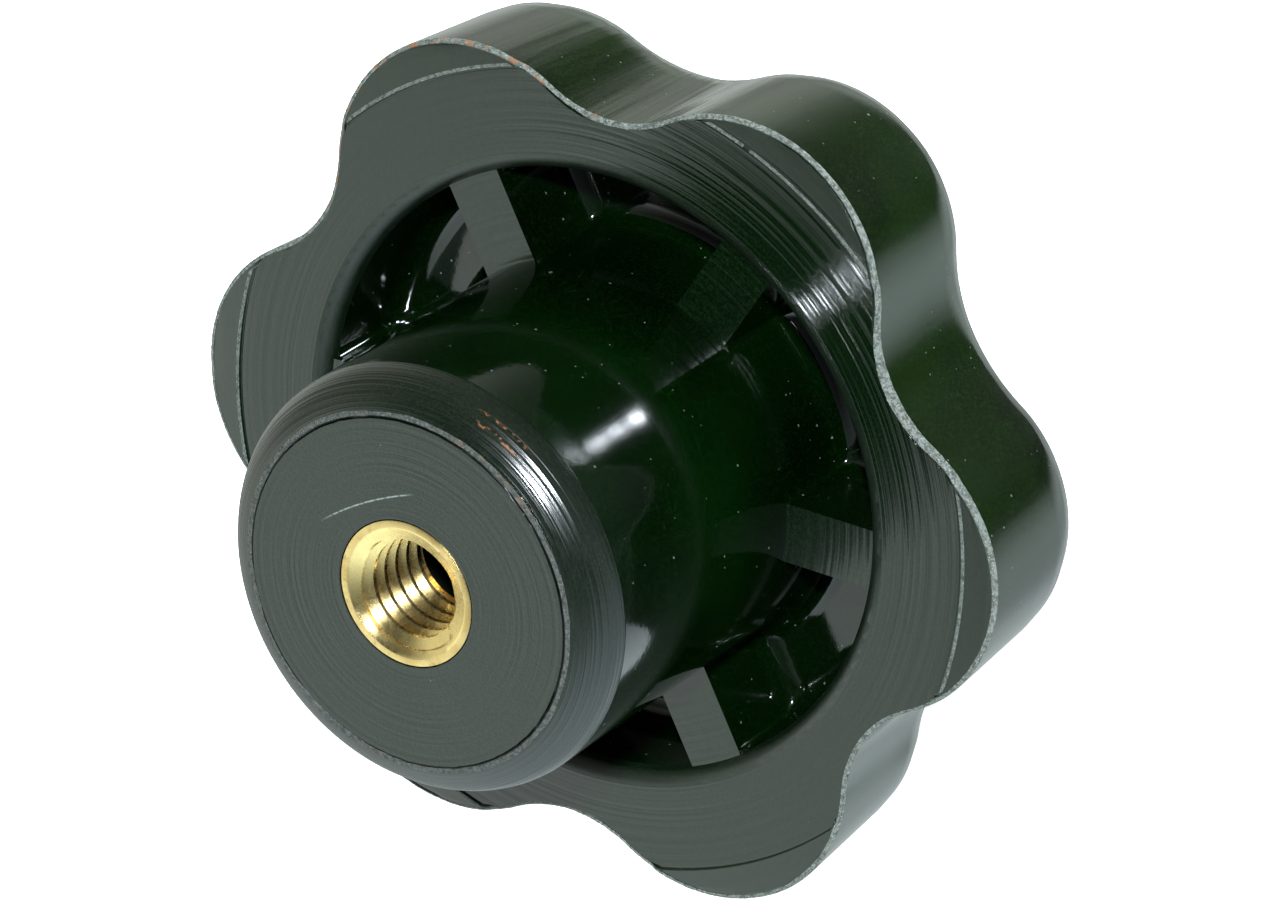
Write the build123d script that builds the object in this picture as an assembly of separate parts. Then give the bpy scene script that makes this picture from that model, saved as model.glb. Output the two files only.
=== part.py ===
from build123d import *
import math
import os

# Six-lobe star knob nut: a black phenolic moulding around a threaded brass bush.
# Millimetres. +Z is the thread axis, pointing out of the thread mouth.
# The origin is the centre of the flat crown, on which the knob stands.

# ---------------- driving dimensions ----------------
# thread M8 x 1.25
THREAD_MINOR_D = 6.647      # plain bore at the minor diameter of the thread
CSK_MOUTH_R = 4.52          # radius of the 120 degree countersink at the mouth
CSK_HALF_ANGLE = 60.0

# star grip
LOBES = 6
TIP_R = 31.05               # axis to lobe tip at the rim, 62.1 mm across the tips
VALLEY_R = 25.60            # axis to the bottom of a valley at the rim
LOBE_R = 10.90              # lobe radius at the rim
CROWN_TIP_R = 30.50         # same three where the crown rounding starts
CROWN_VALLEY_R = 25.58
CROWN_LOBE_R = 10.70
RIM_H = 15.25               # crown face to turned rim face
CROWN_ROUND = 6.15          # radius of the rounded crown edge
EDGE_BREAK = 0.45           # broken moulding edge round the rim
STEP_R = 28.40              # the rim face is turned flat out to this radius
STEP_H = 0.15               # the lobe tips beyond it stand this much higher

# annular recess
LIP_R = 22.50               # where the lip rounding leaves the rim face
LIP_ROUND = 1.20
POCKET_OUT_R = LIP_R - LIP_ROUND
RECESS_DEPTH = 8.00         # below the rim face
POCKET_TAPER = 1.2          # moulding draft, degrees
POCKET_FILLET = 1.80        # floor fillet
POCKET_CORNER = 0.50        # upright corners of the pockets

# ribs, one under each lobe tip
RIB_W = 4.20
RIB_DROP = 0.80             # rib tops below the rim face

# hub
HUB_TOP_Z = 36.95           # crown face to hub end face
HUB_TOP_R = 14.66           # just under the shoulder
HUB_BASE_R = 14.80          # at the rib tops
HUB_FACE_R = 12.14          # edge of the turned end face
SHOULDER_ROUND = 3.20       # rounding, cut off by the end face at a shallow angle

# brass bush
BUSH_R = 5.03
BUSH_L = 6.8                # the brass and its thread end here, well short of the blind hole's end
BUSH_GROOVE_R = 4.45
KNURL_TEETH = 30
KNURL_ROOT_R = 4.78
COLLAR_L = 1.2
GROOVE_L = 1.0
BAND_L = 3.4

# blind hole in the moulding beyond the bush
TAIL_R = 3.00
TAIL_L = 7.2


def star_wire(tip_r, valley_r, lobe_r, z, off=0.0):
    """Closed outline of tangent arcs: a convex arc at each lobe, a concave one in each valley."""
    half = math.pi / LOBES
    c = math.cos(half)
    c1 = tip_r - lobe_r
    # tangency of the two arcs gives the valley radius
    a = c1 ** 2 + valley_r ** 2 - 2 * c1 * valley_r * c - lobe_r ** 2
    b = 2 * valley_r - 2 * c1 * c - 2 * lobe_r
    val_r = -a / b
    c2 = valley_r + val_r
    lr, vr = lobe_r + off, val_r - off
    edges = []
    for k in range(LOBES):
        t = 2 * half * k

        def at(r, ang):
            return (r * math.cos(ang), r * math.sin(ang))

        p1 = at(c1, t)                     # lobe centre
        p2 = at(c2, t + half)              # next valley centre
        p0 = at(c2, t - half)              # previous valley centre
        d = math.hypot(p2[0] - p1[0], p2[1] - p1[1])
        j1 = (p1[0] + (p2[0] - p1[0]) * lr / d, p1[1] + (p2[1] - p1[1]) * lr / d)
        j0 = (p1[0] + (p0[0] - p1[0]) * lr / d, p1[1] + (p0[1] - p1[1]) * lr / d)
        tipp = at(c1 + lr, t)
        edges.append(ThreePointArc((*j0, z), (*tipp, z), (*j1, z)))
        pn = at(c1, t + 2 * half)
        j2 = (pn[0] + (p2[0] - pn[0]) * lr / d, pn[1] + (p2[1] - pn[1]) * lr / d)
        low = at(c2 - vr, t + half)
        edges.append(ThreePointArc((*j1, z), (*low, z), (*j2, z)))
    return Wire(edges), val_r


def star_face(tip_r, valley_r, lobe_r, z, off=0.0):
    return Face(star_wire(tip_r, valley_r, lobe_r, z, off)[0])


# ---------------- star grip ----------------
wall_top = RIM_H + STEP_H - EDGE_BREAK
lower = star_face(CROWN_TIP_R, CROWN_VALLEY_R, CROWN_LOBE_R, CROWN_ROUND)
upper = star_face(TIP_R, VALLEY_R, LOBE_R, wall_top)
wall = loft([lower, upper], ruled=True)
crown = extrude(lower, amount=-CROWN_ROUND, dir=(0, 0, 1))
crown_edges = crown.edges().filter_by_position(Axis.Z, -0.01, 0.01)
crown = fillet(crown_edges, CROWN_ROUND - 0.02)
edge_top = star_face(TIP_R, VALLEY_R, LOBE_R, RIM_H + STEP_H, -EDGE_BREAK)
edge = loft([upper, edge_top], ruled=True)
grip = crown + wall + edge

# the turned rim face leaves the lobe tips standing slightly proud
turned = extrude(Pos(0, 0, RIM_H) * Circle(STEP_R), amount=2.0)
grip = grip - turned

# ---------------- hub ----------------
shoulder_c = HUB_TOP_R - SHOULDER_ROUND
shoulder_a = math.acos((HUB_FACE_R - shoulder_c) / SHOULDER_ROUND)
shoulder_z = HUB_TOP_Z - SHOULDER_ROUND * math.sin(shoulder_a)
hub_floor_z = RIM_H - RECESS_DEPTH
with BuildPart() as hub_bp:
    with BuildSketch(Plane.XZ):
        with BuildLine():
            a = (0, hub_floor_z - 1.0)
            b = (HUB_BASE_R + 0.20, hub_floor_z - 1.0)
            c = (HUB_BASE_R, RIM_H - RIB_DROP)
            d = (HUB_TOP_R, shoulder_z)
            m = (
                shoulder_c + SHOULDER_ROUND * math.cos(shoulder_a / 2),
                shoulder_z + SHOULDER_ROUND * math.sin(shoulder_a / 2),
            )
            e = (HUB_FACE_R, HUB_TOP_Z)
            Line(a, b)
            Line(b, c)
            Line(c, d)
            ThreePointArc(d, m, e)
            Line(e, (0, HUB_TOP_Z))
            Line((0, HUB_TOP_Z), a)
        make_face()
    revolve(axis=Axis.Z)
hub = hub_bp.part

# ---------------- annular recess ----------------
# shallow full ring down to the rib tops, with the rounded lip
rib_top = RIM_H - RIB_DROP
x_lip = LIP_R - math.sqrt(LIP_ROUND ** 2 - (LIP_ROUND - RIB_DROP) ** 2)
ang = 0.5 * math.acos((LIP_ROUND - RIB_DROP) / LIP_ROUND)
with BuildPart() as ring_bp:
    with BuildSketch(Plane.XZ):
        with BuildLine():
            p0 = (5.0, rib_top)
            p1 = (x_lip, rib_top)
            pm = (LIP_R - LIP_ROUND * math.sin(ang), RIM_H - LIP_ROUND * (1 - math.cos(ang)))
            p2 = (LIP_R, RIM_H)
            Line(p0, p1)
            ThreePointArc(p1, pm, p2)
            Line(p2, (LIP_R, RIM_H + 3))
            Line((LIP_R, RIM_H + 3), (5.0, RIM_H + 3))
            Line((5.0, RIM_H + 3), p0)
        make_face()
    revolve(axis=Axis.Z)
ring = ring_bp.part

# the rest of the lip rounding and the six pockets between the ribs
def pocket_sketch(out_r, in_r, rib_w, corner):
    half = math.pi / LOBES
    w = rib_w / 2
    ai, ao = math.asin(w / in_r), math.asin(w / out_r)

    def at(r, t):
        return (r * math.cos(t), r * math.sin(t))
    with BuildSketch() as sk:
        with BuildLine():
            i0, i1 = at(in_r, ai), at(in_r, 2 * half - ai)
            o0, o1 = at(out_r, ao), at(out_r, 2 * half - ao)
            ThreePointArc(i0, at(in_r, half), i1)
            Line(i1, o1)
            ThreePointArc(o1, at(out_r, half), o0)
            Line(o0, i0)
        make_face()
        if corner > 0:
            fillet(sk.vertices(), corner)
    return sk.sketch


floor_z = RIM_H - RECESS_DEPTH
# drawn at the height where the lip rounding ends, tapering to the floor
pocket = extrude(
    Pos(0, 0, RIM_H - LIP_ROUND)
    * pocket_sketch(POCKET_OUT_R, HUB_BASE_R, RIB_W, POCKET_CORNER),
    amount=-(RIM_H - LIP_ROUND - floor_z),
    taper=POCKET_TAPER,
)
floor_edges = pocket.edges().filter_by_position(Axis.Z, floor_z - 0.01, floor_z + 0.01)
pocket = fillet(floor_edges, POCKET_FILLET)

# the upper slice of each pocket, from the lip rounding's foot to above the rib tops,
# follows the lip: a sector of the full ring between the ribs
lip_profile = BuildPart()
with lip_profile:
    with BuildSketch(Plane.XZ):
        with BuildLine():
            q0 = (HUB_BASE_R, RIM_H - LIP_ROUND)
            q1 = (POCKET_OUT_R, RIM_H - LIP_ROUND)
            qm = (LIP_R - LIP_ROUND * math.sqrt(0.5), RIM_H - LIP_ROUND + LIP_ROUND * math.sqrt(0.5))
            q2 = (LIP_R, RIM_H)
            Line(q0, q1)
            ThreePointArc(q1, qm, q2)
            Line(q2, (HUB_BASE_R, RIM_H))
            Line((HUB_BASE_R, RIM_H), q0)
        make_face()
    revolve(axis=Axis.Z)
sector = extrude(
    Pos(0, 0, RIM_H - LIP_ROUND) * pocket_sketch(LIP_R + 1.0, HUB_BASE_R - 0.5, RIB_W, 0.0),
    amount=LIP_ROUND,
)
upper_slice = lip_profile.part & sector
pockets = []
for k in range(LOBES):
    r = Rot(0, 0, 360 / LOBES * k)
    pockets.append(r * pocket)
    pockets.append(r * upper_slice)

# ---------------- brass bush ----------------
z1 = HUB_TOP_Z
z2 = z1 - COLLAR_L
z3 = z2 - GROOVE_L
z4 = z3 - BAND_L
z5 = z1 - BUSH_L


def knurl(z_low, height):
    """A straight-knurled band: triangular teeth round the bush."""
    pts = []
    for i in range(KNURL_TEETH):
        t = 2 * math.pi * i / KNURL_TEETH
        h = math.pi / KNURL_TEETH
        pts.append((BUSH_R * math.cos(t), BUSH_R * math.sin(t)))
        pts.append((KNURL_ROOT_R * math.cos(t + h), KNURL_ROOT_R * math.sin(t + h)))
    face = Face(Wire(Polyline(*pts, close=True).edges()))
    return extrude(Pos(0, 0, z_low) * face, amount=height)


def disc(r, z_low, height):
    return Pos(0, 0, z_low) * Cylinder(r, height, align=(Align.CENTER, Align.CENTER, Align.MIN))


bush_outer = (
    disc(BUSH_R, z2, COLLAR_L)
    + disc(BUSH_GROOVE_R, z3, GROOVE_L)
    + knurl(z4, BAND_L)
    + disc(BUSH_GROOVE_R, z5, z4 - z5)
)
minor_r = THREAD_MINOR_D / 2
csk_depth = (CSK_MOUTH_R - minor_r) / math.tan(math.radians(CSK_HALF_ANGLE))
csk = Pos(0, 0, z1 - csk_depth) * Cone(
    minor_r, CSK_MOUTH_R, csk_depth, align=(Align.CENTER, Align.CENTER, Align.MIN)
)
bush = bush_outer - disc(minor_r, z5 - 1, BUSH_L + 2) - csk

# ---------------- the moulding ----------------
body = grip + hub
# open the ring between the hub and the lip without touching the hub
ring_open = ring - hub
body = body - ring_open
for p in pockets:
    body = body - p
body = body - bush_outer
body = body - disc(TAIL_R, z5 - TAIL_L, TAIL_L)

parts = {"knob_body": body, "threaded_insert": bush}
os.makedirs("parts", exist_ok=True)
for name, shape in parts.items():
    shape.label = name
    export_step(shape, "parts/" + name + ".step")
    print(name, "solids", len(shape.solids()), "volume", round(shape.volume, 2), "valid", shape.is_valid)
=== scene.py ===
import math

import bpy
import numpy as np
from mathutils import Matrix


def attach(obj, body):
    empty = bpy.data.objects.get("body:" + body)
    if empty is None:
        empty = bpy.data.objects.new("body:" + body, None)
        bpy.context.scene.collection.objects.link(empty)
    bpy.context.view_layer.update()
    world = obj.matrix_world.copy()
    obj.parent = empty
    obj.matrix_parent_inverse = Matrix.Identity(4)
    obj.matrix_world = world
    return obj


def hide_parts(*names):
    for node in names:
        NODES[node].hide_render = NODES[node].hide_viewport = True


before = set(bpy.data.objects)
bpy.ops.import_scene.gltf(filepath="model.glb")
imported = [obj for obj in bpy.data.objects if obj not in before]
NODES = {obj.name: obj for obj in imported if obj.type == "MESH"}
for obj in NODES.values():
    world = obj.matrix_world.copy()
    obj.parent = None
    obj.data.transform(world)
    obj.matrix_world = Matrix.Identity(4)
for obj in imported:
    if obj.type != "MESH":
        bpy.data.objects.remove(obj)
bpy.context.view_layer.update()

# ------------------------------------------------------------------ sizes, millimetres
LOBES = 6
TIP_R, VALLEY_R, LOBE_R = 31.05, 25.60, 10.90
C_TIP_R, C_VALLEY_R, C_LOBE_R = 30.50, 25.58, 10.70
RIM_H, CROWN_ROUND, EDGE = 15.25, 6.13, 0.45
STEP_R, STEP_H = 28.40, 0.15
LIP_R, LIP_ROUND, RIB_DROP = 22.50, 1.20, 0.80
HUB_TOP_Z, HUB_TOP_R, HUB_FACE_R, SHOULDER = 36.95, 14.66, 12.14, 3.20
BUSH_R, BUSH_L, BUSH_GROOVE_R, KNURL_ROOT_R, TEETH = 5.03, 6.8, 4.45, 4.78, 30
MINOR_R, MAJOR_R, PITCH = 6.647 / 2, 4.02, 1.25
CSK_R = 4.52
TAIL_R, TAIL_L = 3.00, 7.2
sc = HUB_TOP_R - SHOULDER
SH_A = math.acos((HUB_FACE_R - sc) / SHOULDER)
SH_Z = HUB_TOP_Z - SHOULDER * math.sin(SH_A)


# ------------------------------------------------------------------ helpers
def knots(phi, n, seed):
    """Smooth periodic noise round the axis, -1 to 1, with n knots a turn."""
    v = np.random.default_rng(seed).uniform(-1, 1, n)
    t = (phi / (2 * math.pi)) % 1.0 * n
    i = np.floor(t).astype(int)
    f = t - i
    f = f * f * (3 - 2 * f)
    return v[i % n] * (1 - f) + v[(i + 1) % n] * f


def fractal(phi, n, seed, octaves=4, gain=0.6):
    out, a, tot = 0.0, 1.0, 0.0
    for k in range(octaves):
        out = out + a * knots(phi, n * 2**k, seed + 17 * k)
        tot += a
        a *= gain
    return out / tot


def smooth(x, lo, hi):
    t = np.clip((x - lo) / (hi - lo), 0, 1)
    return t * t * (3 - 2 * t)


def star(phi, tip, valley, lobe, off=0.0):
    """Distance from the axis to the six-lobe outline of tangent arcs."""
    half = math.pi / LOBES
    c1 = tip - lobe
    a = c1**2 + valley**2 - 2 * c1 * valley * math.cos(half) - lobe**2
    b = 2 * valley - 2 * c1 * math.cos(half) - 2 * lobe
    vr = -a / b
    c2 = valley + vr
    lr, vo = lobe + off, vr - off
    d = np.array([c2 * math.cos(half) - c1, c2 * math.sin(half)])
    d = d / np.hypot(*d)
    j = np.array([c1, 0]) + d * lr
    pj = math.atan2(j[1], j[0])
    u = np.abs((phi + half) % (2 * half) - half)
    s1 = np.sqrt(np.maximum(lr**2 - (c1 * np.sin(u)) ** 2, 0))
    w = half - u
    s2 = np.sqrt(np.maximum(vo**2 - (c2 * np.sin(w)) ** 2, 0))
    return np.where(u <= pj, c1 * np.cos(u) + s1, c2 * np.cos(w) - s2)


class Build:
    """Collects vertices and faces, in millimetres. Every loop runs anticlockwise seen from +Z."""

    def __init__(self):
        self.v, self.n, self.f, self.m, self.g = [], 0, [], [], []

    def loop(self, phi, r, z):
        r, z = np.broadcast_to(r, phi.shape), np.broadcast_to(z, phi.shape)
        p = np.c_[r * np.cos(phi), r * np.sin(phi), z]
        i = np.arange(self.n, self.n + len(p))
        self.v.append(p)
        self.n += len(p)
        return i

    def add(self, faces, mat, group):
        faces = np.asarray(faces)
        self.f += faces.tolist()
        self.m += [mat] * len(faces)
        self.g += [group] * len(faces)

    def strip(self, a, b, mat, group):
        a2, b2 = np.roll(a, -1), np.roll(b, -1)
        self.add(np.c_[a, a2, b2, b], mat, group)

    def cap(self, a, z, mat, group, up):
        c = self.loop(np.zeros(1), 0.0, z)[0]
        a2 = np.roll(a, -1)
        self.add(np.c_[a, a2, np.full(len(a), c)] if up else np.c_[a2, a, np.full(len(a), c)], mat, group)

    def zip(self, a, pa, b, pb, mat, group):
        """Joins two loops with different counts. pa and pb are their azimuths, sorted."""
        na, nb = len(a), len(b)
        ua = np.r_[pa, pa[0] + 2 * math.pi]
        ub = np.r_[pb, pb[0] + 2 * math.pi]
        i = j = 0
        out = []
        while i < na or j < nb:
            if j >= nb or (i < na and ua[i + 1] - ua[0] + pa[0] <= ub[j + 1] - ub[0] + pb[0]):
                out.append((a[i % na], a[(i + 1) % na], b[j % nb]))
                i += 1
            else:
                out.append((a[i % na], b[(j + 1) % nb], b[j % nb]))
                j += 1
        self.add(out, mat, group)


def object_from(name, verts_mm, faces, mats, slots, normals=None):
    me = bpy.data.meshes.new(name)
    me.from_pydata(np.asarray(verts_mm) / 1000.0, [], faces)
    for m in mats:
        me.materials.append(m)
    me.polygons.foreach_set("material_index", np.asarray(slots, np.int32))
    me.polygons.foreach_set("use_smooth", np.ones(len(me.polygons), bool))
    me.update()
    if normals is not None:
        me.normals_split_custom_set(normals)
    o = bpy.data.objects.new(name, me)
    bpy.context.scene.collection.objects.link(o)
    return o


# ------------------------------------------------------------------ shader helpers
class Mat:
    def __init__(self, name):
        self.m = bpy.data.materials.new(name)
        self.m.use_nodes = True
        self.t = self.m.node_tree
        self.t.nodes.clear()
        self.out = self.t.nodes.new("ShaderNodeOutputMaterial")
        self.b = self.t.nodes.new("ShaderNodeBsdfPrincipled")
        self.t.links.new(self.b.outputs[0], self.out.inputs[0])
        tc = self.t.nodes.new("ShaderNodeTexCoord")
        self.mm = self.vec("SCALE", tc.outputs["Object"], scale=1000.0)
        sep = self.t.nodes.new("ShaderNodeSeparateXYZ")
        self.t.links.new(self.mm, sep.inputs[0])
        self.x, self.y, self.z = sep.outputs
        self.r = self.math("SQRT", self.math("ADD", self.math("MULTIPLY", self.x, self.x), self.math("MULTIPLY", self.y, self.y)))
        self.a = self.math("ARCTAN2", self.y, self.x)

    def put(self, sock, v):
        if isinstance(v, bpy.types.NodeSocket):
            self.t.links.new(v, sock)
        else:
            sock.default_value = v

    def math(self, op, a, b=None, c=None, clamp=False):
        n = self.t.nodes.new("ShaderNodeMath")
        n.operation, n.use_clamp = op, clamp
        for s, v in zip(n.inputs, (a, b, c)):
            if v is not None:
                self.put(s, v)
        return n.outputs[0]

    def vec(self, op, a, b=None, scale=None):
        n = self.t.nodes.new("ShaderNodeVectorMath")
        n.operation = op
        self.put(n.inputs[0], a)
        if b is not None:
            self.put(n.inputs[1], b)
        if scale is not None:
            self.put(n.inputs["Scale"], scale)
        return n.outputs[0]

    def xyz(self, x, y, z):
        n = self.t.nodes.new("ShaderNodeCombineXYZ")
        for s, v in zip(n.inputs, (x, y, z)):
            self.put(s, v)
        return n.outputs[0]

    def noise(self, vec=None, w=None, scale=1.0, detail=2.0, rough=0.5, dims="3D", dist=0.0):
        n = self.t.nodes.new("ShaderNodeTexNoise")
        n.noise_dimensions = dims
        if vec is not None:
            self.put(n.inputs["Vector"], vec)
        if w is not None:
            self.put(n.inputs["W"], w)
        n.inputs["Scale"].default_value = scale
        n.inputs["Detail"].default_value = detail
        n.inputs["Roughness"].default_value = rough
        n.inputs["Distortion"].default_value = dist
        return n.outputs["Fac"]

    def ramp(self, v, lo, hi, a=0.0, b=1.0):
        n = self.t.nodes.new("ShaderNodeMapRange")
        n.interpolation_type = "SMOOTHSTEP"
        for k, x in (("Value", v), ("From Min", lo), ("From Max", hi), ("To Min", a), ("To Max", b)):
            self.put(n.inputs[k], x)
        return n.outputs[0]

    def mix(self, f, a, b):
        n = self.t.nodes.new("ShaderNodeMix")
        n.data_type = "RGBA"
        self.put(n.inputs[0], f)
        for s, v in ((n.inputs[6], a), (n.inputs[7], b)):
            self.put(s, (*v, 1.0) if isinstance(v, tuple) else v)
        return n.outputs[2]

    def specks(self, density, size, cell, seed=0.0):
        """Small scattered dots. density is the share of cells that hold one, cell their spacing in mm."""
        n = self.t.nodes.new("ShaderNodeTexVoronoi")
        n.voronoi_dimensions = "3D"
        self.put(n.inputs["Vector"], self.vec("ADD", self.mm, (seed, seed * 1.7, seed * 2.3)))
        n.inputs["Scale"].default_value = 1.0 / cell
        sep = self.t.nodes.new("ShaderNodeSeparateColor")
        self.t.links.new(n.outputs["Color"], sep.inputs[0])
        keep = self.math("LESS_THAN", sep.outputs[0], density)
        rad = self.math("MULTIPLY_ADD", sep.outputs[1], size * 0.8 / cell, size * 0.4 / cell)
        return self.math("MULTIPLY", keep, self.math("LESS_THAN", n.outputs["Distance"], rad))

    def bump(self, height, dist, strength=1.0, normal=None):
        n = self.t.nodes.new("ShaderNodeBump")
        n.inputs["Strength"].default_value = strength
        n.inputs["Distance"].default_value = dist
        self.put(n.inputs["Height"], height)
        if normal is not None:
            self.put(n.inputs["Normal"], normal)
        return n.outputs[0]

    def set(self, **kw):
        for k, v in kw.items():
            k = k.replace("_", " ")
            if isinstance(v, tuple) and len(v) == 3:
                v = (*v, 1.0)
            self.put(self.b.inputs[k], v)


def gloss_material(name, streaks=False, rough=0.065, base=(0.0004, 0.0034, 0.0003), recess_shade=0.75, spec=0.5):
    """Moulded skin: greenish black, glossy, with faint mottling, specks of dust and, on the walls, flow lines."""
    m = Mat(name)
    big = m.noise(m.mm, scale=0.09, detail=2.0)
    lo, hi = tuple(0.45 * c for c in base), tuple(1.35 * c for c in base)
    tint = m.mix(m.ramp(big, 0.3, 0.75), lo, hi)
    grain = m.noise(m.mm, scale=5.0, detail=3.0, rough=0.75)
    tint = m.mix(m.math("MULTIPLY", m.ramp(grain, 0.48, 0.70), 0.70), tint, tuple(c * 2.8 + 0.0005 for c in base))
    # painted shade: except on the walls, the colour is darkened below z 22 mm, most towards the bottom of the recess
    if not streaks:
        tint = m.mix(m.ramp(m.z, 9.0, 22.0, 1.0 - recess_shade, 0.0), tint, (0.0001, 0.0006, 0.0001))
    dust = m.specks(0.26, 0.080, 0.70)
    dust2 = m.specks(0.05, 0.14, 2.1, 5.0)
    d = m.math("MAXIMUM", dust, dust2)
    col = m.mix(m.math("MULTIPLY", d, 0.45), tint, (0.13, 0.15, 0.12))
    smudge = m.noise(m.mm, scale=0.35, detail=3.0, rough=0.6)
    rr = m.ramp(smudge, 0.3, 0.8, rough, rough + 0.045)
    rr = m.math("MAXIMUM", rr, m.math("MULTIPLY", d, 0.6))
    fine = m.noise(m.mm, scale=2.4, detail=2.0)
    nrm = m.bump(fine, 0.000003)
    if streaks:
        s1 = m.noise(m.xyz(m.math("MULTIPLY", m.a, 26.0), m.math("MULTIPLY", m.z, 0.05), 0.0), scale=1.0, detail=2.0, rough=0.45)
        s2 = m.noise(m.xyz(m.math("MULTIPLY", m.a, 9.0), m.math("MULTIPLY", m.z, 0.04), 4.0), scale=1.0, detail=1.0)
        amp = m.ramp(m.math("ABSOLUTE", m.math("ADD", m.a, 0.50)), 0.16, 0.42, 1.2, 0.12)
        h = m.math("MULTIPLY", m.math("ADD", s1, m.math("MULTIPLY", s2, 1.4)), amp)
        nrm = m.bump(h, 0.00010, normal=nrm)
    m.set(Base_Color=col, Roughness=rr, Normal=nrm, IOR=1.55)
    m.b.inputs["Specular IOR Level"].default_value = spec
    return m


def turned_material(name, slope=0.0, base=(0.0005, 0.0050, 0.0005), rough=0.115, depth=0.000088, aniso=0.45, feed=0.50, rings=1.0, scratch=None, wobble=0.05, uneven=True, sand=0.0000012, rust=None):
    """Faced on a lathe: fine rings about the axis. slope mixes height into the ring coordinate, for rounded edges.
    uneven cuts the rings deeper on one side of the part than on the other."""
    m = Mat(name)
    w = m.math("ADD", m.r, m.math("MULTIPLY", m.z, slope))
    wob = m.math("MULTIPLY", m.noise(m.xyz(m.math("MULTIPLY", m.a, 1.5), w, 0.0), scale=0.6, detail=1.0), wobble)
    w = m.math("ADD", w, wob)
    g1 = m.noise(w=m.math("MULTIPLY", w, 1.0 / feed), dims="1D", detail=1.0)
    g2 = m.noise(w=m.math("MULTIPLY", w, 3.3 / feed), dims="1D", detail=2.0)
    broken = m.noise(m.xyz(m.math("MULTIPLY", m.a, 9.0), m.math("MULTIPLY", w, 4.0), 0.0), scale=1.0, detail=2.0)
    arc = m.noise(m.xyz(m.math("MULTIPLY", m.a, 1.1), m.math("MULTIPLY", w, 0.22), 7.0), scale=1.0, detail=1.0)
    amp = m.ramp(arc, 0.35, 0.65, 0.55, 1.0)
    if uneven:
        amp = m.math("MULTIPLY", amp, m.ramp(m.math("ABSOLUTE", m.math("ADD", m.a, 1.15)), 0.40, 1.10, 1.0, 0.26))
    h = m.math("ADD", g1, m.math("MULTIPLY", g2, 0.22))
    h = m.math("MULTIPLY", m.math("ADD", h, m.math("MULTIPLY", broken, 0.07)), amp)
    grain = m.noise(m.mm, scale=7.0, detail=2.0)
    nrm = m.bump(grain, sand)
    nrm = m.bump(h, depth, normal=nrm)
    # painted highlight: the broken crests of the fine rings take a lighter colour, strongest where uneven cuts the
    # rings deeper
    crest_highlight = m.math("MULTIPLY", m.math("MULTIPLY", m.ramp(g2, 0.50, 0.78), m.ramp(broken, 0.40, 0.72)), amp)
    fleck = m.noise(m.mm, scale=5.5, detail=3.0, rough=0.75)
    tint = m.mix(m.ramp(fleck, 0.38, 0.68), tuple(0.5 * c for c in base), tuple(1.3 * c + 0.0016 for c in base))
    tint = m.mix(m.math("MULTIPLY", crest_highlight, 0.55 * rings), tint, tuple(2.6 * c for c in base))
    d = m.specks(0.045, 0.07, 1.3, 2.0)
    col = m.mix(m.math("MULTIPLY", d, 0.45), tint, (0.13, 0.15, 0.13))
    if rust:
        zone = m.ramp(m.math("ABSOLUTE", m.math("SUBTRACT", m.a, rust[0])), rust[1], rust[1] + 0.10, 1.0, 0.0)
        lines = None
        for zc, half in rust[2]:
            one = m.ramp(m.math("ABSOLUTE", m.math("SUBTRACT", m.z, zc)), half, 2.2 * half, 1.0, 0.0)
            lines = one if lines is None else m.math("MAXIMUM", lines, one)
        patch = m.noise(m.xyz(m.math("MULTIPLY", m.a, 30.0), m.math("MULTIPLY", m.z, 5.0), 3.0), scale=1.0, detail=2.0)
        col = m.mix(m.math("MULTIPLY", m.math("MULTIPLY", lines, zone), m.ramp(patch, 0.50, 0.62, 0.0, 0.60)), col, (0.22, 0.085, 0.028))
    if scratch:
        cx, cy, cr, y0, y1, zmin = scratch
        dx, dy = m.math("SUBTRACT", m.x, cx), m.math("SUBTRACT", m.y, cy)
        off = m.math("ABSOLUTE", m.math("SUBTRACT", m.math("SQRT", m.math("ADD", m.math("MULTIPLY", dx, dx), m.math("MULTIPLY", dy, dy))), cr))
        ragged = m.noise(m.mm, scale=3.0, detail=2.0)
        line = m.ramp(off, 0.02, 0.075, 1.0, 0.0)
        line = m.math("MULTIPLY", line, m.math("MULTIPLY", m.ramp(m.y, y0 - 0.4, y0 + 0.9), m.ramp(m.y, y1 - 1.6, y1 + 0.3, 1.0, 0.0)))
        line = m.math("MULTIPLY", line, m.math("MULTIPLY", m.math("GREATER_THAN", m.z, zmin), m.math("GREATER_THAN", m.x, 0.0)))
        line = m.math("MULTIPLY", line, m.ramp(ragged, 0.32, 0.55, 0.25, 1.0))
        col = m.mix(m.math("MULTIPLY", line, 0.85), col, (0.16, 0.19, 0.175))
    rr = m.ramp(broken, 0.2, 0.8, 0.85 * rough, 1.2 * rough)
    m.set(Base_Color=col, Roughness=rr, Normal=nrm, IOR=1.55, Anisotropic=aniso)
    if aniso:
        t = m.t.nodes.new("ShaderNodeTangent")
        t.direction_type, t.axis = "RADIAL", "Z"
        m.t.links.new(t.outputs[0], m.b.inputs["Tangent"])
        m.b.inputs["Anisotropic Rotation"].default_value = ANISO_ROT
    return m


ANISO_ROT = 0.25


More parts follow.
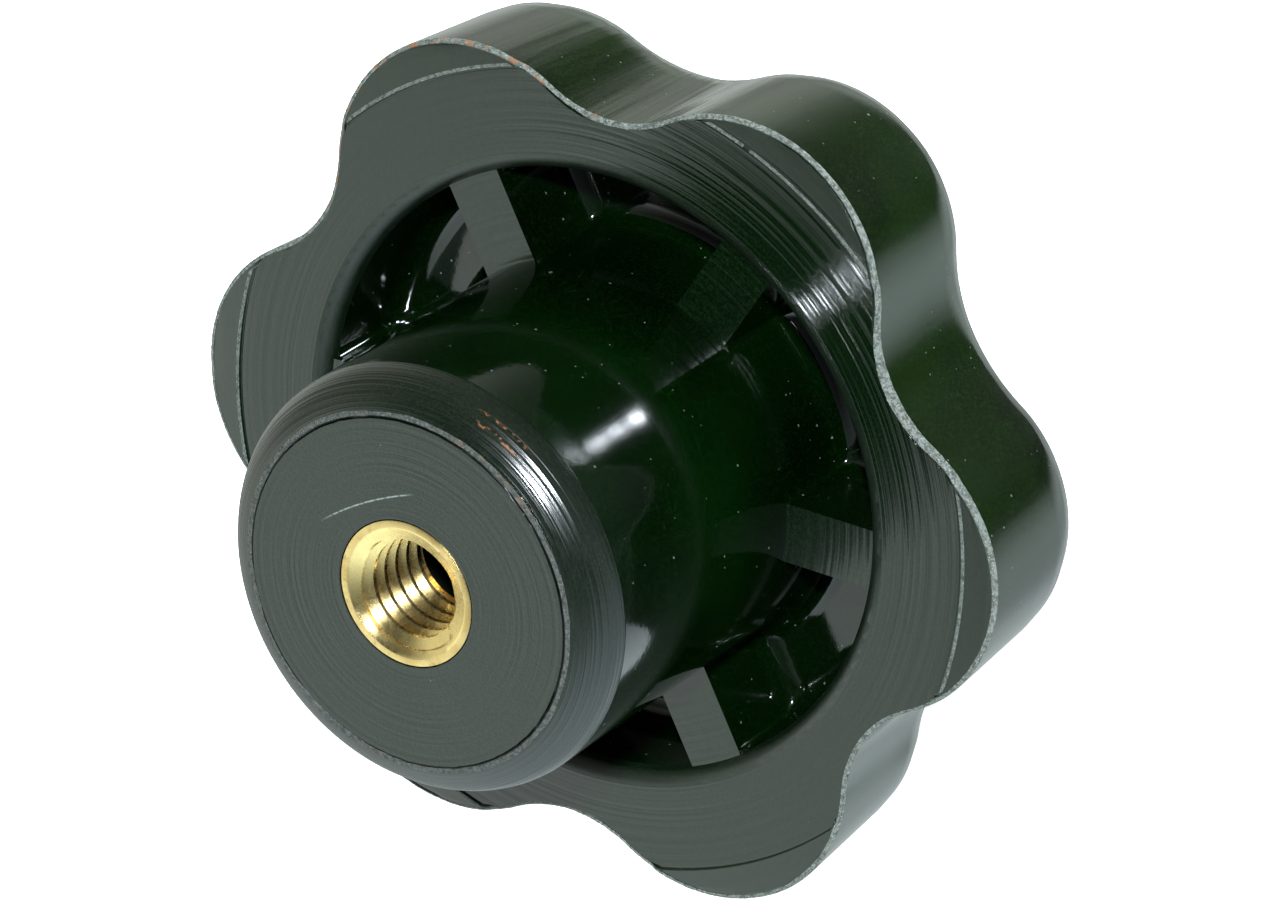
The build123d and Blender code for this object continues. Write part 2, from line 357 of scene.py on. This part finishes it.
def edge_material(name, gain=1.0, orange_amount=0.8, orange_az=0.0, orange_w=0.35):
    """Torn, whitish skin along a broken or faced edge."""
    m = Mat(name)
    n1 = m.noise(m.mm, scale=3.6, detail=4.0, rough=0.75)
    n2 = m.noise(m.mm, scale=9.0, detail=3.0, rough=0.7)
    col = m.mix(m.ramp(n1, 0.38, 0.62), tuple(gain * c for c in (0.014, 0.020, 0.015)), tuple(gain * c for c in (0.092, 0.105, 0.090)))
    col = m.mix(m.ramp(n2, 0.54, 0.68), col, tuple(gain * c for c in (0.20, 0.22, 0.19)))
    o = m.noise(m.mm, scale=1.1, detail=2.0)
    zone = m.ramp(m.math("ABSOLUTE", m.math("SUBTRACT", m.a, orange_az)), orange_w, orange_w + 0.25, 1.0, 0.06)
    orange = m.math("MULTIPLY", m.ramp(o, 0.50, 0.62), zone)
    col = m.mix(m.math("MULTIPLY", orange, orange_amount), col, (0.17, 0.070, 0.022))
    nrm = m.bump(m.math("ADD", n1, n2), 0.00005)
    m.set(Base_Color=col, Roughness=0.70, Normal=nrm)
    return m


def brass_material(name):
    m = Mat(name)
    big = m.noise(m.mm, scale=0.6, detail=3.0)
    col = m.mix(m.ramp(big, 0.3, 0.7), (0.46, 0.325, 0.125), (0.58, 0.44, 0.19))
    dirt = m.noise(m.mm, scale=2.5, detail=3.0, rough=0.6)
    col = m.mix(m.math("MULTIPLY", m.ramp(dirt, 0.56, 0.75), 0.45), col, (0.22, 0.14, 0.045))
    col = m.mix(m.ramp(m.r, 4.42, 4.60, 0.55, 0.0), col, (0.85, 0.68, 0.30))
    w = m.math("ADD", m.r, m.math("MULTIPLY", m.z, 0.7))
    g = m.noise(w=m.math("MULTIPLY", w, 16.0), dims="1D", detail=2.0)
    nrm = m.bump(g, 0.000005)
    nrm = m.bump(m.noise(m.mm, scale=6.0, detail=2.0), 0.000002, normal=nrm)
    m.set(Base_Color=col, Metallic=1.0, Roughness=m.ramp(dirt, 0.3, 0.8, 0.24, 0.33), Normal=nrm, Anisotropic=0.80)
    t = m.t.nodes.new("ShaderNodeTangent")
    t.direction_type, t.axis = "RADIAL", "Z"
    m.t.links.new(t.outputs[0], m.b.inputs["Tangent"])
    m.b.inputs["Anisotropic Rotation"].default_value = ANISO_ROT
    return m


# ------------------------------------------------------------------ the moulding
# a curved scratch on the hub face: centre, radius, y range and lowest z
SCRATCH = (-16.234, 0.284, 22.666, -3.6, 4.1, 36.5)
GLOSS, WALL, TURNED, SHOULD, ROUGH, PAINTED_SHADE, STEP, FACE, FEDGE, LIP, LAND = range(11)
materials = [
    gloss_material("phenolic_gloss"),
    gloss_material("phenolic_wall", streaks=True, rough=0.09, base=(0.0020, 0.0066, 0.0005)),
    turned_material("phenolic_turned"),
    turned_material("phenolic_shoulder", slope=-1.0, base=(0.0008, 0.0042, 0.0008), rough=0.215, depth=0.000074, aniso=0.0, feed=0.38, uneven=False, rust=(-0.97, 0.09, [(36.02, 0.06), (35.42, 0.05)])),
    edge_material("phenolic_broken_edge", gain=1.25),
    # a darker, duller copy of the moulded black for the blind hole and the dip inside the hub face edge: painted shade
    gloss_material("phenolic_bore_painted_shade", rough=0.30, base=(0.0001, 0.0008, 0.0001), spec=0.12),
    edge_material("phenolic_torn_step", gain=0.9, orange_amount=0.0),
    turned_material("phenolic_face", rough=0.25, depth=0.000018, aniso=0.45, feed=0.34, scratch=SCRATCH, wobble=0.02, uneven=False, sand=0.000009),
    edge_material("phenolic_face_edge", gain=0.50, orange_az=-1.05, orange_w=0.08, orange_amount=0.6),
    turned_material("phenolic_lip", slope=-1.0, rough=0.34, depth=0.000040, aniso=0.10, feed=0.40, uneven=False),
    turned_material("phenolic_land", rough=0.20, depth=0.000009, aniso=0.10, feed=0.50, uneven=False),
]
body = Build()
N = 1440
phi = 2 * math.pi * np.arange(N) / N

# the recess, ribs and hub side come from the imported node's own mesh
src = NODES["knob_body"].data
nv, nl = len(src.vertices), len(src.loops)
co = np.empty(nv * 3, np.float32)
src.vertices.foreach_get("co", co)
co = co.reshape(-1, 3).astype(float) * 1000
lv = np.empty(nl, np.int32)
src.loops.foreach_get("vertex_index", lv)
cn = np.empty(nl * 3, np.float32)
src.corner_normals.foreach_get("vector", cn)
cn = cn.reshape(-1, 3).astype(float)
tri = lv.reshape(-1, 3)
tn = cn.reshape(-1, 3, 3)
rr = np.hypot(co[:, 0], co[:, 1])
ok = (rr <= LIP_R + 0.015) & (rr >= 14.0) & (co[:, 2] <= SH_Z + 0.015) & (co[:, 2] >= RIM_H - 8.0 - 0.015)
keep = ok[tri].all(1)
tri, tn = tri[keep], tn[keep]
key = np.round(co[tri.ravel()] / 5e-4).astype(np.int64)
_, first, inv = np.unique(key, axis=0, return_index=True, return_inverse=True)
inv = inv.reshape(-1, 3)
cv = co[tri.ravel()[first]]
good = (inv[:, 0] != inv[:, 1]) & (inv[:, 1] != inv[:, 2]) & (inv[:, 2] != inv[:, 0])
inv, tn = inv[good], tn[good]
base = body.n
body.v.append(cv)
body.n += len(cv)
cen = cv[inv].mean(1)
cr = np.hypot(cen[:, 0], cen[:, 1])
fn = tn.mean(1)
lip = (cr > 21.2) & (cen[:, 2] > RIM_H - LIP_ROUND - 0.01) & (fn[:, 2] > 0.05)
ribtop = (np.abs(cen[:, 2] - (RIM_H - RIB_DROP)) < 0.02) & (fn[:, 2] > 0.9)
slots_cad = np.where(lip, LIP, np.where(ribtop, TURNED, GLOSS))
cad_faces = len(inv)
body.f += (inv + base).tolist()
body.m += slots_cad.tolist()
body.g += [-1] * cad_faces


def boundary(level_r, level_z):
    """The open loop of the kept part of the CAD mesh at that radius and height."""
    e = {}
    for t in inv:
        for k in range(3):
            a, b = int(t[k]), int(t[(k + 1) % 3])
            e[(min(a, b), max(a, b))] = e.get((min(a, b), max(a, b)), 0) + 1
    ids = sorted({v for k, c in e.items() if c == 1 for v in k})
    p = cv[ids]
    m = (np.abs(np.hypot(p[:, 0], p[:, 1]) - level_r) < 0.02) & (np.abs(p[:, 2] - level_z) < 0.02)
    ids = np.array(ids)[m]
    az = np.arctan2(cv[ids, 1], cv[ids, 0]) % (2 * math.pi)
    o = np.argsort(az)
    return ids[o] + base, az[o]


lip_loop, lip_az = boundary(LIP_R, RIM_H)
hub_loop, hub_az = boundary(HUB_TOP_R, SH_Z)
print("cad part", len(cv), "vertices", cad_faces, "faces; loops", len(lip_loop), len(hub_loop))

# crown and side wall
out_top = star(phi, TIP_R, VALLEY_R, LOBE_R)
deg = np.degrees(phi)
near = np.exp(-(((deg - 267 + 180) % 360 - 180) / 15.0) ** 2)
width = 0.27 + 0.075 * fractal(phi, 46, 3, 5, 0.75) + 0.20 * near
Z_WALL = RIM_H + STEP_H - EDGE
rings = []
for s in (0.5,):
    rings.append((s * star(phi, C_TIP_R, C_VALLEY_R, C_LOBE_R, -CROWN_ROUND), 0.0))
for th in np.radians([90, 80, 68, 55, 42, 28, 14, 0]):
    rings.append((star(phi, C_TIP_R, C_VALLEY_R, C_LOBE_R, -CROWN_ROUND * (1 - math.cos(th))), CROWN_ROUND * (1 - math.sin(th))))
zc0 = CROWN_ROUND
low = star(phi, C_TIP_R, C_VALLEY_R, C_LOBE_R)
for s in (0.3, 0.6, 0.85, 0.95):
    rings.append((low + (out_top - low) * s, zc0 + (Z_WALL - zc0) * s))
loops = [body.loop(phi, r, z) for r, z in rings]
body.cap(loops[0], 0.0, WALL, 0, up=False)
for a, b in zip(loops[:-1], loops[1:]):
    body.strip(a, b, WALL, 0)

# broken edge band between the wall and the rim face
on_lobe = smooth(out_top, 28.45, 28.85)
land = 0.055
z_top = RIM_H + STEP_H * on_lobe - land * on_lobe * np.clip(out_top - 0.45 - STEP_R, 0, None)
drop = width * (0.95 + 0.20 * fractal(phi, 60, 9)) + 0.05 * near
z_wall_top = z_top - drop
wall_top = body.loop(phi, out_top - 0.004, z_wall_top - 0.03)
body.strip(loops[-1], wall_top, WALL, 0)
S = np.array([0.0, 0.14, 0.32, 0.5, 0.68, 0.86, 1.0])
band = []
rng = np.random.default_rng(5)
for k, s in enumerate(S):
    rough_n = 0.55 * fractal(phi, 300, 100 + k, 3) + 0.45 * rng.uniform(-1, 1, N)
    amp = 0.0 if k == 0 else 0.040 if k < len(S) - 1 else 0.022
    bulge = 0.045 * math.sin(math.pi * s)
    r = out_top - width * s**1.15 + bulge * 0.7 + amp * rough_n * 0.7
    z = z_top - drop * (1 - s) ** 1.15 + bulge * 0.7 + amp * rough_n * 0.7
    r = np.minimum(r, out_top)
    band.append(body.loop(phi, r, np.minimum(z, z_top + 0.010)))
    last_r = r
body.strip(wall_top, band[0], WALL, 0)
for a, b in zip(band[:-1], band[1:]):
    body.strip(a, b, ROUGH, 1)
# a thin crack-like groove on the inner side of the band, in places
crack = smooth(fractal(phi, 24, 31), 0.0, 0.35)
g1r, g2r, g3r = last_r - 0.05, last_r - 0.10, last_r - 0.20
z0 = z_top
l1 = body.loop(phi, g1r, z0 - 0.07 * crack)
l2 = body.loop(phi, g2r, z0 - 0.05 * crack)
l3 = body.loop(phi, g3r, z0)
body.strip(band[-1], l1, ROUGH, 1)

# rim face: the turned face ends in a fine groove and a torn ridge under each lobe tip
lobe_az = (deg + 30) // 60 * 60 % 360
ridge = on_lobe * (0.65 + 0.35 * fractal(phi, 90, 77)) * np.where(lobe_az == 180, 0.15, 1.0)
groove = on_lobe * (0.55 + 0.45 * smooth(fractal(phi, 30, 78), -0.3, 0.2)) * np.where((lobe_az == 180) | (lobe_az == 120), 0.25, np.where(lobe_az % 360 == 300, 0.5, 1.0))
second = np.exp(-(((deg - 292 + 180) % 360 - 180) / 13.0) ** 2) * on_lobe
tip_part = on_lobe > 0.5


def rim_strip(a, b, inner):
    """One ring of the rim face; outside the step the lobe tips keep their moulded skin."""
    both = np.c_[a, np.roll(a, -1), np.roll(b, -1), b]
    if inner:
        body.add(both, TURNED, 2)
    else:
        body.add(both[tip_part], LAND, 2)
        body.add(both[~tip_part], TURNED, 2)


rim_strip(l1, l2, False)
rim_strip(l2, l3, False)
RIM_ROWS = [1.30, 0.92, 0.58, 0.50, 0.44, 0.38, 0.30, 0.20, 0.135, 0.09, 0.045, 0.0, -0.05, -0.10, -0.16, -0.90, -2.0, -3.6, -4.8, -5.68]
prev, prev_r = l3, g3r
for k, dr in enumerate(RIM_ROWS):
    r = np.minimum(STEP_R + dr, g3r - 0.010 * (k + 1))
    d = r - STEP_R
    zf = RIM_H + STEP_H * smooth(d, -0.01, 0.06)
    zf = zf - land * on_lobe * np.clip(d - 0.1, 0, None)
    zf = zf + 0.035 * ridge * np.exp(-(((d - 0.10) / 0.05) ** 2))
    zf = zf - 0.060 * groove * np.exp(-(((d + 0.07) / 0.045) ** 2))
    zf = zf - 0.050 * second * np.exp(-(((d - 0.44) / 0.05) ** 2)) + 0.020 * second * np.exp(-(((d - 0.56) / 0.05) ** 2))
    cur = body.loop(phi, r, np.minimum(zf, RIM_H + STEP_H + 0.03))
    torn = 0.045 <= dr <= 0.20
    if torn:
        mark = (on_lobe > 0.5) & (ridge > 0.42)
        both = np.c_[prev, np.roll(prev, -1), np.roll(cur, -1), cur]
        body.add(both[mark], STEP, 2)
        body.add(both[~mark], TURNED, 2)
    else:
        rim_strip(prev, cur, dr < 0.045)
    prev = cur
body.zip(prev, phi, lip_loop, lip_az, TURNED, 2)

# hub shoulder, its rough edge and the end face
M = 720
psi = 2 * math.pi * np.arange(M) / M
ang = SH_A * np.array([0.04, 0.14, 0.26, 0.38, 0.5, 0.62, 0.74, 0.84, 0.91])
first_sh = body.loop(psi, sc + SHOULDER * math.cos(ang[0]), SH_Z + SHOULDER * math.sin(ang[0]))
body.zip(hub_loop, hub_az, first_sh, psi, SHOULD, 3)
prev = first_sh
for a in ang[1:]:
    cur = body.loop(psi, sc + SHOULDER * math.cos(a), SH_Z + SHOULDER * math.sin(a))
    body.strip(prev, cur, SHOULD, 3)
    prev = cur
edge_w = 0.30 + 0.10 * fractal(psi, 30, 41)
for k, s in enumerate((0.0, 0.3, 0.65, 1.0)):
    r = HUB_FACE_R + edge_w * (1 - s)
    a_here = np.arccos(np.clip((r - sc) / SHOULDER, -1, 1))
    z = np.minimum(SH_Z + SHOULDER * np.sin(a_here), HUB_TOP_Z)
    n_ = (0.5 * fractal(psi, 160, 60 + k, 3) + 0.5 * rng.uniform(-1, 1, M)) * (0.045 if k in (1, 2) else 0.02)
    cur = body.loop(psi, r + (0.0 if k == 0 else 1.0) * n_, np.minimum(z + n_, HUB_TOP_Z))
    body.strip(prev, cur, SHOULD if k == 0 else FEDGE, 3 if k == 0 else 4)
    prev = cur
dark = 0.35 + 0.65 * smooth(fractal(psi, 18, 51), -0.2, 0.25)
w0 = 0.03 * fractal(psi, 120, 71, 3)
# a real shallow dip inside the rough edge; past its first row it takes the darker bore material, painted shade in the
# dip
for k, (dr, dz) in enumerate(((-0.06, -0.15), (-0.15, -0.15), (-0.22, 0.0))):
    cur = body.loop(psi, HUB_FACE_R + dr + w0, HUB_TOP_Z + dz * dark)
    body.strip(prev, cur, FEDGE if k == 0 else PAINTED_SHADE, 5)
    prev = cur
for r in (11.6, 10.8, 9.9, 8.9, 7.9, 6.9, 6.0, 5.35):
    cur = body.loop(psi, r, HUB_TOP_Z)
    body.strip(prev, cur, FACE, 6)
    prev = cur
# seat of the insert and the blind hole beyond it
seat_w = 0.02 * fractal(psi, 60, 81, 3)
cur = body.loop(psi, BUSH_R + 0.07 + seat_w, HUB_TOP_Z)
body.strip(prev, cur, FACE, 6)
prev = cur
zb = HUB_TOP_Z - BUSH_L
# the seat and the blind hole take the darker bore material: painted shade in the hole
for r, z in ((BUSH_R + 0.02, HUB_TOP_Z - 0.05), (BUSH_R + 0.01, HUB_TOP_Z - 1.2), (BUSH_R + 0.01, zb - 0.01), (TAIL_R, zb - 0.01), (TAIL_R, zb - TAIL_L + 0.3), (TAIL_R - 0.3, zb - TAIL_L)):
    cur = body.loop(psi, r, z)
    body.strip(prev, cur, PAINTED_SHADE, 7)
    prev = cur
body.cap(prev, zb - TAIL_L, PAINTED_SHADE, 7, up=True)

V = np.vstack(body.v)
G = np.array(body.g)
Q = np.full((len(body.f), 4), -1)
for k in (3, 4):
    sel = [i for i, f in enumerate(body.f) if len(f) == k]
    Q[sel, :k] = [body.f[i] for i in sel]
quad = Q[:, 3] >= 0
d1 = np.where(quad[:, None], V[Q[:, 2]] - V[Q[:, 0]], V[Q[:, 1]] - V[Q[:, 0]])
d2 = np.where(quad[:, None], V[Q[:, 3]] - V[Q[:, 1]], V[Q[:, 2]] - V[Q[:, 0]])
fnorm = np.cross(d1, d2)
# corner normals: the CAD's own on its part, area-weighted within each group elsewhere
acc = np.zeros((int(G.max() + 1) * len(V), 3))
for k in range(4):
    sel = (G >= 0) & (Q[:, k] >= 0)
    np.add.at(acc, G[sel] * len(V) + Q[sel, k], fnorm[sel])
acc /= np.linalg.norm(acc, axis=1, keepdims=True) + 1e-20
NQ = np.zeros((len(Q), 4, 3))
for k in range(4):
    sel = (G >= 0) & (Q[:, k] >= 0)
    NQ[sel, k] = acc[G[sel] * len(V) + Q[sel, k]]
NQ[G < 0, :3] = tn
corner = NQ[Q >= 0]
F = body.f
knob = object_from("knob_moulding", V, F, [m.m for m in materials], body.m, corner)
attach(knob, "root")
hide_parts("knob_body")

# ------------------------------------------------------------------ the brass insert with its real thread
COLS = 180
ins = Build()
th = 2 * math.pi * np.arange(COLS) / COLS
flank = (MAJOR_R - MINOR_R) * math.tan(math.radians(30)) / PITCH
crest, root = 0.25, 1 - 0.25 - 2 * flank
e = 0.012
prof = [(0.0, MINOR_R), (e, MINOR_R), (crest / 2, MINOR_R), (crest - e, MINOR_R), (crest, MINOR_R), (crest + flank * 0.5, (MINOR_R + MAJOR_R) / 2), (crest + flank - e, MAJOR_R - 0.01), (crest + flank + e, MAJOR_R), (crest + flank + root - e, MAJOR_R), (crest + flank + root + e, MAJOR_R - 0.01), (crest + flank * 1.5 + root, (MINOR_R + MAJOR_R) / 2), (1 - e, MINOR_R + 0.015)]
per = len(prof)
z_lo, z_hi = HUB_TOP_Z - BUSH_L, HUB_TOP_Z
csk_depth = (CSK_R - MINOR_R) / math.tan(math.radians(60))
PHASE_Z, PHASE_A = HUB_TOP_Z - 1.37, math.radians(103.7)
first_turn = math.floor((z_lo - PHASE_Z) / PITCH) - 2
last_turn = math.ceil((z_hi - PHASE_Z) / PITCH) + 2
grid = []
for turn in range(first_turn, last_turn + 1):
    for s, rp in prof:
        z = PHASE_Z + PITCH * (turn + s + (th - PHASE_A) / (2 * math.pi))
        cone = CSK_R - (z_hi - z) * math.tan(math.radians(60))
        r = np.maximum(rp, cone)
        r = np.where(z >= z_hi, CSK_R, r)
        r = np.where(z <= z_lo, MINOR_R, r)
        grid.append(ins.loop(th, r, np.clip(z, z_lo, z_hi)))
rows = len(grid)
g2 = np.array(grid)
right = np.c_[g2[:, 1:], g2[np.minimum(np.arange(rows) + per, rows - 1), 0]]
ins.add(np.stack([g2[1:], right[1:], right[:-1], g2[:-1]], 2).reshape(-1, 4), 0, 0)
top = ins.loop(th, CSK_R, z_hi)
mouth = [(CSK_R + 0.05, z_hi), (BUSH_R - 0.09, z_hi), (BUSH_R - 0.03, z_hi - 0.02), (BUSH_R, z_hi - 0.07)]
COLLAR, GROOVE, BANDL = 1.2, 1.0, 3.4
zz = z_hi - COLLAR
h = math.pi / TEETH
u = np.abs((th + h) % (2 * h) - h) / h
knurl_r = BUSH_R - (BUSH_R - KNURL_ROOT_R) * u - 0.005
outer = [(BUSH_R, zz), (BUSH_GROOVE_R, zz), (BUSH_GROOVE_R, zz - GROOVE)]
zz -= GROOVE
outer += [(knurl_r, zz), (knurl_r, zz - BANDL)]
zz -= BANDL
outer += [(BUSH_GROOVE_R, zz), (BUSH_GROOVE_R, z_lo), (MINOR_R, z_lo)]
prev = top
for r, z in mouth + outer:
    cur = ins.loop(th, r, z)
    ins.add(np.c_[prev, np.roll(prev, -1), np.roll(cur, -1), cur][:, ::-1], 0, 0)
    prev = cur
IV = np.vstack(ins.v)
key = np.round(IV / 1e-4).astype(np.int64)
_, first, inverse = np.unique(key, axis=0, return_index=True, return_inverse=True)
inverse = inverse.ravel()
IV = IV[first]
IF = [list(dict.fromkeys(f)) for f in inverse[np.array(ins.f)].tolist()]
IF = [f for f in IF if len(f) >= 3]
brass = brass_material("brass_turned")
insert = object_from("threaded_brass_insert", IV, IF, [brass.m], [0] * len(IF))
insert.data.set_sharp_from_angle(angle=math.radians(32))
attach(insert, "root")
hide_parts("threaded_insert")

# ------------------------------------------------------------------ floor, camera, lights
fm = Mat("floor")
fm.set(Base_Color=fm.mix(fm.noise(fm.mm, scale=0.02, detail=2.0), (0.88, 0.88, 0.88), (0.92, 0.92, 0.92)), Roughness=0.9, Emission_Color=(1.0, 1.0, 1.0), Emission_Strength=0.75)
floor_me = bpy.data.meshes.new("floor")
floor_me.from_pydata([(-3, -3, -0.0002), (3, -3, -0.0002), (3, 3, -0.0002), (-3, 3, -0.0002)], [], [(0, 1, 2, 3)])
floor_me.materials.append(fm.m)
floor = bpy.data.objects.new("floor", floor_me)
bpy.context.scene.collection.objects.link(floor)
floor.visible_glossy = False

cam_data = bpy.data.cameras.new("camera")
cam_data.lens = 175.688
cam_data.sensor_width = 36.0
cam_data.clip_start = 0.01
cam = bpy.data.objects.new("camera", cam_data)
W = np.array([[-0.379813468, -0.756189076, -0.532841263], [0.913353388, -0.215188134, -0.345658293], [0.146721908, -0.617958048, 0.772399206]])
mw = Matrix.Identity(4)
for i in range(3):
    for j in range(3):
        mw[i][j] = float(W[j, i])
mw.translation = (0.0611801, -0.25953144, 0.33360023)
cam.matrix_world = mw
bpy.context.scene.collection.objects.link(cam)
bpy.context.scene.camera = cam

# the room, as rings of brightness round the object: (elevation, values from azimuth -180 to 180), in degrees
RINGS = [
    (-56, [0.80, 0.90, 1.05, 0.98, 0.66, 0.12, 0.06, 0.10, 0.13, 0.14, 0.14, 0.13, 0.13, 0.16, 0.28, 0.45, 0.70, 0.80, 0.72, 0.50, 0.75, 0.82, 0.62, 0.55, 0.60, 0.66, 0.76, 0.86, 0.92, 0.80]),
    (-49, [1.90, 1.60, 1.10, 0.98, 0.66, 0.12, 0.06, 0.10, 0.13, 0.14, 0.14, 0.13, 0.13, 0.16, 0.28, 0.45, 0.70, 0.80, 0.72, 0.50, 0.75, 0.82, 0.62, 0.55, 0.60, 0.66, 0.76, 0.86, 0.98, 1.55]),
    (-15, [1.30, 1.30, 0.90, 0.38, 0.30, 0.30, 0.30, 0.50, 1.00, 0.75, 0.80, 1.00]),
    (12, [2.30, 2.00, 0.50, 0.38, 0.35, 0.35, 0.30, 0.30, 0.45, 1.50, 1.90, 1.90]),
    (36, [2.00, 1.40, 0.40, 0.15, 0.12, 0.15, 0.20, 0.25, 0.25, 0.25, 0.30, 0.80, 1.60, 2.10, 2.30, 2.20, 2.00, 1.90]),
    (50, [1.20, 0.60, 0.15, 0.10, 0.12, 0.15, 0.12, 0.15, 0.70, 1.55, 1.65, 1.35]),
    (64, [0.70, 0.40, 0.10, 0.08, 0.10, 0.10, 0.06, 0.06, 0.25, 0.55, 0.60, 0.60]),
    (88, [0.05, 0.05, 0.05, 0.05]),
]
COOL, WARM, WARM_AZ = (0.80, 0.97, 1.05), (0.97, 1.0, 0.88), 20.0


def studio_world(rings):
    w = bpy.data.worlds.new("studio")
    w.use_nodes = True
    t = w.node_tree
    t.nodes.clear()

    def node(kind, **kw):
        n = t.nodes.new(kind)
        for k, v in kw.items():
            setattr(n, k, v)
        return n

    def op(kind, a, b=None, clamp=False):
        n = node("ShaderNodeMath", operation=kind, use_clamp=clamp)
        for sock, v in zip(n.inputs, (a, b)):
            if isinstance(v, bpy.types.NodeSocket):
                t.links.new(v, sock)
            elif v is not None:
                sock.default_value = v
        return n.outputs[0]

    tc = node("ShaderNodeTexCoord")
    nrm = node("ShaderNodeVectorMath", operation="NORMALIZE")
    t.links.new(tc.outputs["Generated"], nrm.inputs[0])
    sep = node("ShaderNodeSeparateXYZ")
    t.links.new(nrm.outputs[0], sep.inputs[0])
    el = op("MULTIPLY", op("ARCSINE", sep.outputs[2]), 180 / math.pi)
    u = op("ADD", op("MULTIPLY", op("ARCTAN2", sep.outputs[1], sep.outputs[0]), 0.5 / math.pi), 0.5)
    total = last = None
    for e_, vals in rings:
        top = max(max(vals), 1e-6)
        cr = node("ShaderNodeValToRGB")
        cr.color_ramp.interpolation = "LINEAR"
        n = len(vals)
        els = cr.color_ramp.elements
        els[0].position, els[1].position = 0.0, 1.0
        for k in range(1, n):
            els.new(k / n)
        for k in range(n + 1):
            v = vals[k % n] / top
            els[k].color = (v, v, v, 1.0)
        t.links.new(u, cr.inputs[0])
        ring = op("MULTIPLY", cr.outputs[0], top)
        if total is None:
            total = ring
        else:
            f = op("DIVIDE", op("SUBTRACT", el, last), e_ - last, clamp=True)
            total = op("ADD", op("MULTIPLY", total, op("SUBTRACT", 1.0, f)), op("MULTIPLY", ring, f))
        last = e_
    c, s_ = math.cos(math.radians(WARM_AZ)), math.sin(math.radians(WARM_AZ))
    side = op("ADD", op("MULTIPLY", sep.outputs[0], 0.5 * c), op("MULTIPLY", sep.outputs[1], 0.5 * s_))
    tint = node("ShaderNodeMix", data_type="RGBA")
    t.links.new(op("ADD", side, 0.5), tint.inputs[0])
    tint.inputs[6].default_value = (*COOL, 1.0)
    tint.inputs[7].default_value = (*WARM, 1.0)
    bg = node("ShaderNodeBackground")
    t.links.new(tint.outputs[2], bg.inputs[0])
    t.links.new(total, bg.inputs[1])
    seen = node("ShaderNodeBackground")
    seen.inputs[0].default_value = (1.0, 1.0, 1.0, 1.0)
    seen.inputs[1].default_value = 1.0
    lp = node("ShaderNodeLightPath")
    mixed = node("ShaderNodeMixShader")
    t.links.new(lp.outputs["Is Camera Ray"], mixed.inputs[0])
    t.links.new(bg.outputs[0], mixed.inputs[1])
    t.links.new(seen.outputs[0], mixed.inputs[2])
    o = node("ShaderNodeOutputWorld")
    t.links.new(mixed.outputs[0], o.inputs[0])
    return w


world = studio_world(RINGS)
bpy.context.scene.world = world


def area(name, az, el, dist, w, h, power, color=(1, 1, 1)):
    a, e_ = math.radians(az), math.radians(el)
    d = np.array([math.cos(a) * math.cos(e_), math.sin(a) * math.cos(e_), math.sin(e_)])
    target = np.array([0, 0, 0.02])
    L = bpy.data.lights.new(name, "AREA")
    L.shape, L.size, L.size_y, L.energy, L.color = "RECTANGLE", w, h, power, color
    o = bpy.data.objects.new(name, L)
    zax = d / np.linalg.norm(d)
    up = np.array([0, 0, 1.0]) if abs(zax[2]) < 0.95 else np.array([0, 1.0, 0])
    xax = np.cross(up, zax)
    xax /= np.linalg.norm(xax)
    yax = np.cross(zax, xax)
    m = Matrix.Identity(4)
    for i in range(3):
        m[i][0], m[i][1], m[i][2] = float(xax[i]), float(yax[i]), float(zax[i])
    m.translation = tuple(target + d * dist)
    o.matrix_world = m
    o.visible_camera = False
    bpy.context.scene.collection.objects.link(o)
    return o


area("key", -65.5, 46.0, 0.8, 0.054, 0.045, 17.0, (0.88, 0.95, 1.04))
area("glint", 101, 80, 0.8, 0.03, 0.03, 0.30, (0.91, 0.96, 1.03))

bpy.context.scene.view_settings.view_transform = "Standard"
